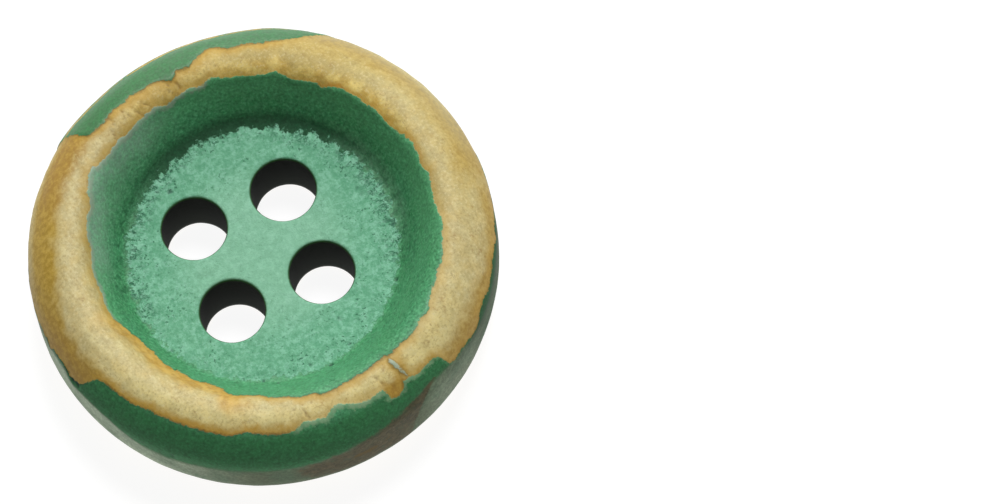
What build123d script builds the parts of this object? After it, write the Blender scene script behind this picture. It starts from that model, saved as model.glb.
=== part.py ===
from build123d import *
import math
import os

# Four-hole wooden sewing button, turned from one piece of wood.
# Millimetres, +Z up. The button lies on its back with the dished front face up.
# The origin is the centre of the back, at the lowest point, on the turning axis.

# ---- driving dimensions ------------------------------------------------------
outer_dia = 20.0            # widest diameter, across the upright side
thickness = 5.5             # back to the top of the raised rim

back_flat_r = 4.0           # worn flat round the holes, which the button lies on
back_edge_r = 9.05          # where the domed back meets the rounded lower edge
back_edge_z = 0.38          # rise of the dome there
side_low_z = 2.14           # lower end of the upright side
side_high_z = 3.60          # upper end of the upright side

crown_r = 8.20              # radius of the top line of the raised rim
shoulder_fullness = 0.43    # 0.55 is a true quarter ellipse, less is flatter

wall_top_r = 7.30           # upper end of the sloping wall of the well
wall_top_z = 5.04
wall_foot_r = 6.16          # lower end of the straight part of the wall
wall_foot_z = 3.36
floor_r = 5.68              # flat part of the well floor
floor_z = 3.10              # height of the well floor, and the web's thickness

hole_dia = 2.82             # four thread holes, right through
hole_circle_dia = 5.88      # the circle that their centres lie on
hole_circle_x = -0.15       # the hand-drilled pattern is a little off the axis
hole_circle_y = 0.18

# ---- the turned blank --------------------------------------------------------
outer_r = outer_dia / 2

# the domed back is an arc that leaves the flat without a crease
run = back_edge_r - back_flat_r
dome_r = (run ** 2 + back_edge_z ** 2) / (2 * back_edge_z)
dome_end = math.asin(run / dome_r)
half = dome_end / 2
dome_mid = (back_flat_r + dome_r * math.sin(half), dome_r * (1 - math.cos(half)))

edge_k = 0.5523 * (outer_r - back_edge_r)
side_k = 0.5523 * (side_low_z - back_edge_z)
shoulder_w = outer_r - crown_r
shoulder_h = thickness - side_high_z
wall_dr = wall_top_r - wall_foot_r
wall_dz = wall_top_z - wall_foot_z
wall_len = math.hypot(wall_dr, wall_dz)
ur, uz = wall_dr / wall_len, wall_dz / wall_len      # unit vector up the wall


def p(r, z):
    """A point of the half section: radius, height."""
    return (r, 0.0, z)


section = [
    Line(p(0, 0), p(back_flat_r, 0)),
    ThreePointArc(p(back_flat_r, 0), p(*dome_mid), p(back_edge_r, back_edge_z)),
    # rounded lower edge, from the dome's slope to upright
    Bezier(p(back_edge_r, back_edge_z),
           p(back_edge_r + edge_k * math.cos(dome_end), back_edge_z + edge_k * math.sin(dome_end)),
           p(outer_r, side_low_z - side_k),
           p(outer_r, side_low_z)),
    # upright side
    Line(p(outer_r, side_low_z), p(outer_r, side_high_z)),
    # outer shoulder up to the crown of the rim
    Bezier(p(outer_r, side_high_z),
           p(outer_r, side_high_z + shoulder_fullness * shoulder_h),
           p(crown_r + shoulder_fullness * shoulder_w, thickness),
           p(crown_r, thickness)),
    # crown rolls over into the well
    Bezier(p(crown_r, thickness),
           p(crown_r - 0.48, thickness),
           p(wall_top_r + 0.24 * ur, wall_top_z + 0.24 * uz),
           p(wall_top_r, wall_top_z)),
    # sloping wall of the well
    Line(p(wall_top_r, wall_top_z), p(wall_foot_r, wall_foot_z)),
    # small hollow at the foot of the wall
    Bezier(p(wall_foot_r, wall_foot_z),
           p(wall_foot_r - 0.16 * ur, wall_foot_z - 0.16 * uz),
           p(floor_r + 0.22, floor_z),
           p(floor_r, floor_z)),
    # flat floor of the well
    Line(p(floor_r, floor_z), p(0, floor_z)),
    Line(p(0, floor_z), p(0, 0)),
]
blank = revolve(make_face(Curve() + section), axis=Axis.Z, revolution_arc=360)

# ---- the four thread holes ---------------------------------------------------
hole_r = hole_dia / 2
drills = []
for i in range(4):
    a = math.radians(45 + 90 * i)
    x = hole_circle_x + hole_circle_dia / 2 * math.cos(a)
    y = hole_circle_y + hole_circle_dia / 2 * math.sin(a)
    drills.append(Pos(x, y, floor_z / 2) * Cylinder(hole_r, floor_z + 2.0))
    print("hole", i + 1, "centre", round(x, 3), round(y, 3))

button = blank
for d in drills:
    button = button - d
button = button.solids()[0] if len(button.solids()) == 1 else button
button.label = "button"

os.makedirs("parts", exist_ok=True)
export_step(button, "parts/button.step")
bb = button.bounding_box()
print("button volume", round(button.volume, 2), "valid", button.is_valid,
      "box", [round(v, 3) for v in (bb.min.X, bb.min.Y, bb.min.Z, bb.max.X, bb.max.Y, bb.max.Z)])
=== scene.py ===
import math

import bpy
import numpy as np
from mathutils import Matrix, Vector, geometry


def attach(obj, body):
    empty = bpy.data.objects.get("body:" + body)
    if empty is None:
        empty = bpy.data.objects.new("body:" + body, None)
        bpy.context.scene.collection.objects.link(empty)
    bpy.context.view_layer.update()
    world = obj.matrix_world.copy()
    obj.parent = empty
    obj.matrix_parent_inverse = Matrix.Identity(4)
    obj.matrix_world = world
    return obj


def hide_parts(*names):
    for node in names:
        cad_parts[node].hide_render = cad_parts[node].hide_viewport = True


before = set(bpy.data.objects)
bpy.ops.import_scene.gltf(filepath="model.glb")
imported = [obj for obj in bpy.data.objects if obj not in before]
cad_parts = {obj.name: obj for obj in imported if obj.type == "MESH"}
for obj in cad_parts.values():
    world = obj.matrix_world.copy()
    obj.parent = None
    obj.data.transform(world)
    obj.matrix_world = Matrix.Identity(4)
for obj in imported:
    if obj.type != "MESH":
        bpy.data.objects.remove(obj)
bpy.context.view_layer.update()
scene = bpy.context.scene

# ------------------------------------------------------------------------------
# Camera: the photograph's viewing angle. Rows are image right, image down, depth.
# ------------------------------------------------------------------------------
CAM_ROWS = ((0.91321, -0.40230, -0.06484),
            (-0.39771, -0.84530, -0.35679),
            (0.08872, 0.35161, -0.93193))
CAM_POS_MM = (-34.839, -178.803, 465.635)
FOCAL_PX = 11642.2

cam_data = bpy.data.cameras.new("camera")
cam = bpy.data.objects.new("camera", cam_data)
scene.collection.objects.link(cam)
right, down, depth = (Vector(v) for v in CAM_ROWS)
depth.normalize()
right = (right - depth * right.dot(depth)).normalized()
up = right.cross(depth).normalized()
rot = Matrix((right, up, -depth)).transposed().to_4x4()
cam.matrix_world = Matrix.Translation(Vector(CAM_POS_MM) / 1000.0) @ rot
cam_data.sensor_fit = "HORIZONTAL"
cam_data.sensor_width = 36.0
cam_data.lens = 36.0 * FOCAL_PX / 1000.0
cam_data.clip_start = 0.01
cam_data.clip_end = 20.0
scene.camera = cam

# ------------------------------------------------------------------------------
# The button's half section, in millimetres, as the CAD has it
# ------------------------------------------------------------------------------
R_OUT, T_ALL = 10.0, 5.5
BACK_FLAT, BACK_EDGE_R, BACK_EDGE_Z = 4.0, 9.05, 0.38
SIDE_LOW, SIDE_HIGH = 2.14, 3.60
CROWN_R, FULL = 8.20, 0.43
WALL_TOP, WALL_FOOT = (7.30, 5.04), (6.16, 3.36)
FLOOR_R, FLOOR_Z = 5.68, 3.10
HOLE_R, HOLE_PCR = 1.41, 2.94
HOLE_C = (-0.15, 0.18)
HOLES = [(HOLE_C[0] + HOLE_PCR * math.cos(math.radians(45 + 90 * i)),
          HOLE_C[1] + HOLE_PCR * math.sin(math.radians(45 + 90 * i))) for i in range(4)]

run = BACK_EDGE_R - BACK_FLAT
DOME_R = (run ** 2 + BACK_EDGE_Z ** 2) / (2 * BACK_EDGE_Z)
DOME_END = math.asin(run / DOME_R)


def bez(p0, p1, p2, p3, n=40):
    t = np.linspace(0, 1, n)[:, None]
    p0, p1, p2, p3 = (np.array(p, float) for p in (p0, p1, p2, p3))
    return (1 - t) ** 3 * p0 + 3 * (1 - t) ** 2 * t * p1 + 3 * (1 - t) * t * t * p2 + t ** 3 * p3


def half_section():
    wr, wz = WALL_TOP[0] - WALL_FOOT[0], WALL_TOP[1] - WALL_FOOT[1]
    wl = math.hypot(wr, wz)
    ur, uz = wr / wl, wz / wl
    foot = bez((FLOOR_R, FLOOR_Z), (FLOOR_R + 0.22, FLOOR_Z),
               (WALL_FOOT[0] - 0.16 * ur, WALL_FOOT[1] - 0.16 * uz), WALL_FOOT)
    crown = bez(WALL_TOP, (WALL_TOP[0] + 0.24 * ur, WALL_TOP[1] + 0.24 * uz),
                (CROWN_R - 0.48, T_ALL), (CROWN_R, T_ALL))
    shoulder = bez((CROWN_R, T_ALL), (CROWN_R + FULL * (R_OUT - CROWN_R), T_ALL),
                   (R_OUT, SIDE_HIGH + FULL * (T_ALL - SIDE_HIGH)), (R_OUT, SIDE_HIGH))
    ek, sk = 0.5523 * (R_OUT - BACK_EDGE_R), 0.5523 * (SIDE_LOW - BACK_EDGE_Z)
    low = bez((R_OUT, SIDE_LOW), (R_OUT, SIDE_LOW - sk),
              (BACK_EDGE_R + ek * math.cos(DOME_END), BACK_EDGE_Z + ek * math.sin(DOME_END)),
              (BACK_EDGE_R, BACK_EDGE_Z))
    a = np.linspace(DOME_END, 0, 24)
    dome = np.c_[BACK_FLAT + DOME_R * np.sin(a), DOME_R * (1 - np.cos(a))]
    pts = np.vstack([[[0, FLOOR_Z]], foot, crown, shoulder, low, dome, [[0, 0]]])
    keep = np.r_[True, np.hypot(*np.diff(pts, axis=0).T) > 1e-5]
    return pts[keep]


SEC = half_section()
SEC_S = np.r_[0, np.cumsum(np.hypot(*np.diff(SEC, axis=0).T))]   # distance over the surface


def section_at(s):
    return np.interp(s, SEC_S, SEC[:, 0]), np.interp(s, SEC_S, SEC[:, 1])


def s_of(r, z):
    return float(SEC_S[np.argmin(np.hypot(SEC[:, 0] - r, SEC[:, 1] - z))])


S_WALL_TOP = s_of(*WALL_TOP)
S_CROWN = s_of(CROWN_R, T_ALL)
S_SIDE_HIGH = s_of(R_OUT, SIDE_HIGH)
S_SIDE_LOW = s_of(R_OUT, SIDE_LOW)
S_BACK_EDGE = s_of(BACK_EDGE_R, BACK_EDGE_Z)
S_END = float(SEC_S[-1])

# ------------------------------------------------------------------------------
# Where the paint is rubbed through: (angle in degrees, distance over the surface)
# ------------------------------------------------------------------------------
INNER_EDGE = [
    (0.0, 8.63), (7.5, 8.8), (9.9, 8.65), (11.4, 8.68), (12.8, 8.55), (19.3, 8.43), (25.8, 8.55),
    (29.1, 8.48), (37.9, 8.55), (45.2, 8.25), (46.6, 8.4), (55.2, 8.25), (61.0, 8.58), (64.2, 8.4),
    (75.0, 8.38), (80.1, 8.55), (83.6, 8.58), (85.9, 8.4), (93.2, 8.48), (99.9, 8.28), (103.8, 8.58),
    (105.0, 8.5), (106.8, 8.58), (108.8, 8.48), (117.6, 8.48), (118.9, 8.58), (125.9, 8.58),
    (130.5, 8.73), (132.2, 8.95), (134.8, 8.95), (139.4, 8.73), (140.5, 8.75), (141.9, 8.55),
    (145.1, 8.4), (147.8, 8.48), (156.0, 8.35), (158.9, 8.13), (167.4, 8.18), (171.8, 8.1),
    (173.2, 7.98), (176.1, 7.93), (178.9, 8.05), (185.0, 8.0), (186.4, 7.9), (188.1, 7.68),
    (189.8, 7.43), (192.8, 7.35), (194.1, 7.15), (196.9, 7.05), (200.5, 7.1), (202.3, 6.95),
    (206.0, 7.15), (209.0, 7.33), (213.5, 7.28), (214.0, 7.15), (218.8, 7.2), (220.9, 7.3),
    (224.5, 7.33), (225.9, 7.13), (229.8, 7.2), (233.0, 7.5), (234.6, 7.88), (237.9, 8.33),
    (240.0, 8.18), (242.2, 8.13), (247.1, 8.13), (250.6, 8.5), (255.6, 8.6), (260.0, 8.8),
    (264.4, 8.8), (266.4, 9.0), (270.6, 9.05), (274.2, 8.95), (282.4, 9.0), (288.6, 9.0),
    (291.6, 9.15), (296.1, 9.1), (299.9, 9.25), (303.1, 9.25), (305.1, 9.1), (307.8, 9.28),
    (309.5, 9.28), (311.6, 9.13), (316.0, 9.0), (318.1, 9.08), (323.1, 9.03), (325.6, 9.1),
    (335.1, 8.95), (340.3, 8.98), (341.5, 8.85), (347.0, 8.68), (356.6, 8.8), (358.9, 8.63)]
OUTER_EDGE = [
    (0.0, 12.2), (6.0, 12.45), (11.0, 12.15), (18.0, 12.4), (24.0, 12.25), (31.0, 12.5),
    (38.0, 12.2), (44.0, 12.3), (49.0, 11.9), (51.5, 11.3), (53.4, 10.83), (57.0, 10.33),
    (61.4, 10.08), (64.7, 9.98), (65.4, 9.88), (71.4, 9.88), (73.5, 9.75), (75.2, 9.75),
    (80.8, 10.05), (87.8, 9.38), (91.9, 9.4), (94.0, 9.13), (94.6, 9.13), (97.4, 9.38),
    (100.1, 9.48), (103.6, 9.43), (107.2, 9.63), (109.0, 9.53), (113.9, 9.65), (118.0, 9.55),
    (122.6, 9.72), (123.9, 9.8), (124.6, 10.25), (125.2, 10.9), (126.6, 11.6), (128.5, 12.2),
    (133.0, 12.45), (138.0, 12.25), (144.0, 12.55), (150.0, 12.35), (157.0, 12.5), (163.0, 12.2),
    (169.0, 12.25), (175.9, 11.95), (179.9, 11.8), (182.2, 11.95), (183.6, 11.66), (187.5, 11.55),
    (190.0, 11.6), (192.1, 11.73), (195.8, 11.43), (198.8, 10.58), (201.4, 10.43), (211.0, 10.43),
    (215.9, 10.28), (231.2, 10.3), (239.1, 10.35), (242.9, 10.15), (253.0, 10.3), (256.2, 10.25),
    (259.2, 9.95), (265.6, 10.03), (268.6, 9.7), (270.0, 9.7), (274.9, 10.03), (278.2, 10.13),
    (282.7, 10.1), (283.3, 10.63), (285.6, 10.75), (287.5, 10.68), (288.7, 10.36), (290.9, 10.4),
    (292.5, 10.58), (299.0, 10.63), (300.5, 10.85), (301.1, 11.48), (302.8, 11.7), (306.1, 11.63),
    (311.6, 11.9), (314.8, 11.85), (316.4, 11.65), (319.9, 11.55), (323.1, 11.8), (330.4, 11.63),
    (334.4, 11.78), (337.1, 12.05), (338.9, 11.78), (342.8, 12.0), (348.0, 12.3), (354.0, 12.1)]
# a sliver of paint left across the bare rim
FLAKE = [(288.7, 9.25), (288.9, 9.6), (289.3, 10.0), (289.9, 10.35), (291.0, 10.35), (291.1, 9.95),
         (290.7, 9.55), (290.3, 9.2)]
# the back: bare rim between the lower side and the domed back, worn most at three bays
BACK_OUTER = [(0, 14.45), (9, 14.20), (16, 14.30), (25, 14.62), (33, 14.35), (41, 14.50), (50, 14.85), (60, 14.55),
              (70, 14.30), (79, 14.42), (88, 14.72), (96, 14.40), (103, 14.25), (112, 14.55), (121, 14.80),
              (130, 14.46), (138, 14.38), (147, 14.66), (155, 14.92), (163, 14.60), (171, 14.40), (181, 14.62),
              (190, 14.90), (199, 14.66), (207, 14.55), (216, 14.75), (224, 15.02), (233, 14.72), (241, 14.60),
              (250, 14.82), (259, 15.00), (268, 14.70), (277, 14.62), (286, 14.80), (295, 14.98), (304, 14.66),
              (312, 14.60), (321, 14.78), (330, 14.95), (338, 14.60), (345, 14.38), (353, 14.55)]
BACK_INNER = [(0, 16.5), (6, 16.2), (13, 16.35), (21, 16.1), (29, 16.6), (37, 17.3), (44, 17.9),
              (51, 17.6), (57, 16.9), (64, 16.5), (72, 16.75), (80, 16.3), (90, 16.15), (101, 16.5),
              (112, 17.4), (119, 18.3), (127, 18.5), (135, 17.8), (142, 17.0), (150, 16.4),
              (160, 16.7), (171, 16.25), (183, 16.1), (193, 16.6), (201, 16.3), (212, 16.85),
              (223, 16.45), (236, 16.2), (247, 16.9), (256, 17.9), (263, 18.1), (271, 17.3),
              (280, 16.6), (292, 16.3), (304, 16.7), (316, 16.2), (327, 16.45), (338, 16.9),
              (346, 16.4), (353, 16.7)]
# the bare patch round the holes on the back, in millimetres from the axis
BACK_PATCH = [(-4.6, 1.1), (-4.9, 2.3), (-4.3, 3.4), (-3.6, 3.7), (-3.0, 4.4), (-2.1, 4.3),
              (-1.4, 3.3), (-0.6, 2.6), (0.1, 2.2), (0.9, 2.7), (1.2, 3.8), (2.1, 4.6), (3.2, 4.2),
              (4.1, 3.9), (4.5, 2.9), (4.2, 1.7), (3.6, 0.6), (3.9, -0.6), (4.4, -1.8), (4.1, -3.0),
              (3.2, -3.8), (2.2, -3.7), (1.5, -4.3), (0.6, -3.6), (-0.4, -2.6), (-1.1, -2.9),
              (-1.9, -3.9), (-2.9, -4.2), (-3.8, -3.6), (-4.2, -2.5), (-3.9, -1.4), (-3.3, -0.6),
              (-3.8, 0.2)]

# where the shoulder's green gives way to the greyer side: rubbed paint with a painted grazing sheen
SIDE_LINE = [(0, 12.2), (175, 11.8), (181, 11.78), (186, 11.72), (190, 11.7), (193, 12.02), (197, 11.9),
             (206, 11.95), (209, 12.2), (214, 12.55), (223, 12.62), (234, 12.45), (244, 12.34), (256, 12.3),
             (260, 12.2), (266, 12.05), (271, 11.88), (278, 11.76), (286, 11.5), (291, 11.4), (296, 11.36),
             (300.6, 11.5), (305, 11.62), (309, 11.78), (313, 11.92), (317, 12.0), (322, 12.15), (328, 12.1),
             (340, 12.2)]
WORN_PATCH = [(254, 12.55), (260, 12.3), (266, 12.1), (271, 11.9), (278, 11.76), (286, 11.46), (291, 11.39),
              (295.9, 11.34), (293.7, 11.54), (290.8, 11.83), (288.2, 12.53), (286.6, 13.3), (285, 14.3),
              (262, 14.3), (256, 13.5)]
# dark pits and marks in the well: (angle, surface distance, half sizes round and outwards, strength)
WELL_MARKS = [(275.6, 6.05, 0.16, 0.08, 1.0), (253.2, 6.17, 0.12, 0.07, 0.9), (247.0, 5.88, 0.08, 0.07, 0.8),
              (267.8, 5.57, 0.06, 0.09, 0.7), (287.4, 5.67, 0.09, 0.07, 0.7), (292.8, 4.53, 0.07, 0.07, 0.6),
              (298.7, 5.14, 0.06, 0.08, 0.6), (322.3, 5.91, 0.12, 0.10, 0.9), (115.5, 0.92, 0.05, 0.05, 0.3),
              (120.3, 4.95, 0.10, 0.10, 0.9), (124.0, 5.35, 0.07, 0.05, 0.6), (11.5, 4.87, 0.10, 0.07, 0.5),
              (8.0, 4.95, 0.07, 0.12, 0.35), (4.6, 5.42, 0.16, 0.07, 0.4), (2.5, 5.66, 0.10, 0.13, 0.5),
              (348.0, 5.7, 0.14, 0.08, 0.6), (205.0, 5.85, 0.09, 0.08, 0.6), (154.0, 5.55, 0.05, 0.16, 0.6),
              (146.0, 5.6, 0.05, 0.14, 0.5), (338.0, 5.3, 0.06, 0.06, 0.5), (31.0, 5.5, 0.12, 0.08, 0.5),
              (190.8, 11.60, 0.10, 0.06, 0.6), (192.9, 11.73, 0.16, 0.07, 1.0), (194.6, 11.66, 0.14, 0.08, 1.0),
              (224.0, 12.2, 0.10, 0.06, 0.7)]

# short checks across the bare wood: (angle, from, to, half width, lean)
CHECKS = [(93.2, 8.50, 9.08, 0.040, 0.8), (96.4, 8.55, 9.20, 0.018, -1.6), (105.5, 8.70, 9.10, 0.018, 2.0),
          (108.5, 8.40, 9.00, 0.022, 1.6), (112.0, 8.80, 9.50, 0.018, 1.2), (116.6, 9.05, 9.60, 0.020, -1.0),
          (119.3, 8.60, 9.15, 0.034, -1.8), (260.4, 9.30, 9.98, 0.030, 1.4), (257.6, 9.1, 9.5, 0.016, -1.0),
          (283.4, 9.30, 10.05, 0.022, 0.8), (246.0, 8.9, 9.3, 0.014, 1.5), (23.5, 8.9, 9.4, 0.014, 2.0)]


# ------------------------------------------------------------------------------
# Small numpy helpers
# ------------------------------------------------------------------------------
def smooth(a, b, x):
    t = np.clip((x - a) / (b - a), 0, 1)
    return t * t * (3 - 2 * t)


def _hash(ix, iy, iz, seed):
    h = (ix.astype(np.int64) * 374761393 + iy.astype(np.int64) * 668265263
         + iz.astype(np.int64) * 2147483647 + seed * 974634777) & 0xFFFFFFFF
    h = ((h ^ (h >> 13)) * 1274126177) & 0xFFFFFFFF
    h = ((h ^ (h >> 16)) * 2246822519) & 0xFFFFFFFF
    return ((h ^ (h >> 15)) & 0xFFFFFF) / float(0xFFFFFF)


def noise(p, scale, seed=0):
    """Smooth value noise, about -1 to 1. p is (n, 3) in millimetres."""
    q = p * scale
    i = np.floor(q)
    f = q - i
    f = f * f * f * (f * (f * 6 - 15) + 10)
    i = i.astype(np.int64)
    out = 0.0
    for dx in (0, 1):
        for dy in (0, 1):
            for dz in (0, 1):
                w = ((f[:, 0] if dx else 1 - f[:, 0]) * (f[:, 1] if dy else 1 - f[:, 1])
                     * (f[:, 2] if dz else 1 - f[:, 2]))
                out = out + w * _hash(i[:, 0] + dx, i[:, 1] + dy, i[:, 2] + dz, seed)
    return out * 2 - 1


def fbm(p, scale, octaves=3, seed=0, gain=0.5):
    total, amp, norm = 0.0, 1.0, 0.0
    for k in range(octaves):
        total = total + amp * noise(p, scale * 2 ** k, seed + 31 * k)
        norm += amp
        amp *= gain
    return total / norm


def curve_at(curve, deg):
    a = np.array(curve, float)
    t = np.r_[a[-1, 0] - 360, a[:, 0], a[0, 0] + 360]
    s = np.r_[a[-1, 1], a[:, 1], a[0, 1]]
    return np.interp(deg, t, s)


def dist_to_curve(curve, deg, s, r, closed_ring=True):
    """Distance in mm over the surface from each point to a line given as (angle, s)."""
    a = np.array(curve, float)
    b = np.roll(a, -1, axis=0)
    best = np.full(len(deg), 1e9)
    for (t0, s0), (t1, s1) in zip(a, b):
        d0 = (t0 - deg + 180) % 360 - 180
        x0 = np.radians(d0) * r
        dt = (t1 - t0 + 180) % 360 - 180
        x1 = x0 + np.radians(dt) * r
        y0, y1 = s0 - s, s1 - s
        ex, ey = x1 - x0, y1 - y0
        t = np.clip(-(x0 * ex + y0 * ey) / (ex * ex + ey * ey + 1e-12), 0, 1)
        best = np.minimum(best, np.hypot(x0 + t * ex, y0 + t * ey))
    return best


def inside_poly(poly, x, y):
    inside = np.zeros(len(x), bool)
    p = np.array(poly, float)
    q = np.roll(p, -1, axis=0)
    for (x0, y0), (x1, y1) in zip(p, q):
        cross = (y0 > y) != (y1 > y)
        if y0 != y1:
            inside ^= cross & (x < (x1 - x0) * (y - y0) / (y1 - y0) + x0)
    return inside


def dist_poly(poly, x, y):
    p = np.array(poly, float)
    q = np.roll(p, -1, axis=0)
    best = np.full(len(x), 1e9)
    for (x0, y0), (x1, y1) in zip(p, q):
        ex, ey = x1 - x0, y1 - y0
        t = np.clip(((x - x0) * ex + (y - y0) * ey) / (ex * ex + ey * ey + 1e-12), 0, 1)
        best = np.minimum(best, np.hypot(x - x0 - t * ex, y - y0 - t * ey))
    return best


# ------------------------------------------------------------------------------
# Mesh: one closed skin. A ring of rows over the rim, side and back, two webs with
# four holes, and the walls of the holes
# ------------------------------------------------------------------------------
N_COL = 600
WEB_R = 5.30
N_HOLE = 96
EDGE_TOP, EDGE_LOW = 0.13, 0.12      # softened edges of the holes

verts, tris, quads = [], [], []      # verts rows are x, y, z, s, hole
kind_s = []


def add_rows(points):
    start = len(verts)
    verts.extend(points)
    return start


s_back_web = S_END - WEB_R            # the dome is nearly flat there
rows = np.r_[np.linspace(WEB_R, S_SIDE_HIGH + 0.1, 78),
             np.linspace(S_SIDE_HIGH + 0.1, s_back_web, 38)[1:]]
ang = np.linspace(0, 2 * np.pi, N_COL, endpoint=False)
for s in rows:
    r, z = section_at(s)
    verts.extend((r * math.cos(a), r * math.sin(a), z, s, 0.0) for a in ang)
for i in range(len(rows) - 1):
    a0, b0 = i * N_COL, (i + 1) * N_COL
    for j in range(N_COL):
        k = (j + 1) % N_COL
        quads.append((a0 + j, b0 + j, b0 + k, a0 + k))
top_loop = list(range(N_COL))
low_loop = list(range((len(rows) - 1) * N_COL, len(rows) * N_COL))
web_low_r = float(section_at(s_back_web)[0])


def back_z(r):
    r = np.asarray(r, float)
    x = np.clip(r - BACK_FLAT, 0, None)
    return DOME_R - np.sqrt(DOME_R ** 2 - x ** 2)


def hole_columns():
    """The wall of each hole, from the loop in the floor to the loop in the back."""
    loops = []
    ha = np.linspace(0, 2 * np.pi, N_HOLE, endpoint=False)
    for h, (cx, cy) in enumerate(HOLES):
        prof = []
        for k in range(5):                                   # top edge, rounded
            t = k / 4 * math.pi / 2
            prof.append((HOLE_R + EDGE_TOP * (1 - math.sin(t)), FLOOR_Z - EDGE_TOP * (1 - math.cos(t)), 0.0 + 0.5 * k / 4))
        for z in np.linspace(FLOOR_Z - EDGE_TOP, EDGE_LOW, 12)[1:-1]:
            prof.append((HOLE_R, z, 1.0))
        for k in range(5):                                   # lower edge, rounded
            t = (1 - k / 4) * math.pi / 2
            prof.append((HOLE_R + EDGE_LOW * (1 - math.sin(t)), EDGE_LOW * (1 - math.cos(t)), 0.5 * (1 - k / 4)))
        starts = []
        for hr, z, w in prof:
            starts.append(len(verts))
            for a in ha:
                x, y = cx + hr * math.cos(a), cy + hr * math.sin(a)
                zz = z
                if z < FLOOR_Z / 2:
                    zz = z + float(back_z(math.hypot(x, y)))
                verts.append((x, y, zz, -1.0, w))
        for a0, b0 in zip(starts, starts[1:]):
            for j in range(N_HOLE):
                k = (j + 1) % N_HOLE
                quads.append((a0 + j, a0 + k, b0 + k, b0 + j))
        loops.append((list(range(starts[0], starts[0] + N_HOLE)), list(range(starts[-1], starts[-1] + N_HOLE))))
    return loops


bore_start = len(verts)
loops = hole_columns()
len_bore = (len(verts) - bore_start) // (4 * N_HOLE)


def web(outer_loop, hole_loops, outer_r, step, top):
    """Triangles between the outer loop and the four hole loops."""
    ids = list(outer_loop)
    for l in hole_loops:
        ids += l
    pts = [(verts[i][0], verts[i][1]) for i in ids]
    edges, base = [], 0
    for n in [len(outer_loop)] + [len(l) for l in hole_loops]:
        edges += [(base + j, base + (j + 1) % n) for j in range(n)]
        base += n
    extra = []
    edge_r = HOLE_R + (EDGE_TOP if top else EDGE_LOW)
    for cx, cy in HOLES:                                     # two close rings round each hole
        for k, (dr, n) in enumerate(((0.08, 84), (0.19, 72))):
            for j in range(n):
                a = 2 * math.pi * (j + 0.5 * (k % 2)) / n
                extra.append((cx + (edge_r + dr) * math.cos(a), cy + (edge_r + dr) * math.sin(a)))
    for k, (dr, n) in enumerate(((0.08, N_COL // 2), (0.20, N_COL // 3))):
        for j in range(n):
            a = 2 * math.pi * (j + 0.5 * (k % 2)) / n
            extra.append(((outer_r - dr) * math.cos(a), (outer_r - dr) * math.sin(a)))
    ny = int(outer_r / (step * 0.866)) + 1
    for iy in range(-ny, ny + 1):
        for ix in range(-ny * 2, ny * 2 + 1):
            x = (ix + 0.5 * (iy % 2)) * step
            y = iy * step * 0.866
            if math.hypot(x, y) > outer_r - 0.20 - step * 0.6:
                continue
            if min(math.hypot(x - cx, y - cy) for cx, cy in HOLES) < edge_r + 0.19 + step * 0.6:
                continue
            extra.append((x, y))
    n_old = len(pts)
    co = [Vector(p) for p in pts] + [Vector(p) for p in extra]
    out_v, _, out_f, orig_v, _, _ = geometry.delaunay_2d_cdt(co, edges, [], 0, 1e-7)
    new_ids = {}
    for k, src in enumerate(orig_v):
        first = src[0]
        if first < n_old:
            new_ids[k] = ids[first]
        else:
            x, y = out_v[k]
            z = FLOOR_Z if top else float(back_z(math.hypot(x, y)))
            s = math.hypot(x, y) if top else S_END - math.hypot(x, y)
            new_ids[k] = len(verts)
            verts.append((x, y, z, s, 0.0))
    for f in out_f:
        cx = sum(out_v[i][0] for i in f) / 3
        cy = sum(out_v[i][1] for i in f) / 3
        if math.hypot(cx, cy) > outer_r:
            continue
        if min(math.hypot(cx - hx, cy - hy) for hx, hy in HOLES) < edge_r * 0.999:
            continue
        t = [new_ids[i] for i in f]
        (x0, y0), (x1, y1), (x2, y2) = (verts[i][:2] for i in t)
        ccw = (x1 - x0) * (y2 - y0) - (x2 - x0) * (y1 - y0) > 0
        tris.append(tuple(t if ccw == top else t[::-1]))


web(top_loop, [l[0] for l in loops], WEB_R, 0.125, True)
web(low_loop, [l[1] for l in loops], web_low_r, 0.30, False)

V = np.array(verts, float)
base_co = V[:, :3].copy()
X, Y, Z, S, HOLE = V[:, 0], V[:, 1], V[:, 2], V[:, 3], V[:, 4]
RAD = np.hypot(X, Y)
DEG = np.degrees(np.arctan2(Y, X)) % 360
in_hole = S < 0
S = np.where(in_hole, np.where(Z > FLOOR_Z / 2, RAD, S_END - RAD), S)
top_side = Z > SIDE_LOW

# ------------------------------------------------------------------------------
# Signed distance to the paint's edge: above 0 is bare wood
# ------------------------------------------------------------------------------
s_in, s_out = curve_at(INNER_EDGE, DEG), curve_at(OUTER_EDGE, DEG)
ring_d = np.minimum(dist_to_curve(INNER_EDGE, DEG, S, np.maximum(RAD, 1)),
                    dist_to_curve(OUTER_EDGE, DEG, S, np.maximum(RAD, 1)))
ring = np.where((S > s_in) & (S < s_out), ring_d, -ring_d)
fl = np.array(FLAKE, float)
fx, fy = (DEG - 290.0) * math.pi / 180 * 8.6, S
flake_poly = [((t - 290.0) * math.pi / 180 * 8.6, s) for t, s in FLAKE]
fd = dist_poly(flake_poly, fx, fy)
flake = np.where(inside_poly(flake_poly, fx, fy), fd, -fd)
flake = flake - 0.05
ring = np.minimum(ring, -flake)
# the far edge is rubbed through in a broken line
far_edge = np.clip(1 - np.abs((DEG - 91 + 180) % 360 - 180) / 37, 0, 1)
sliver = 0.26 * far_edge ** 0.4 - 0.06 + 0.18 * fbm(base_co, 1.1, 3, 83) \
    - np.abs(S - 11.40 - 0.12 * fbm(base_co, 0.5, 2, 84))
ring = np.maximum(ring, np.where(far_edge > 0, sliver, -3.0))

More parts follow.
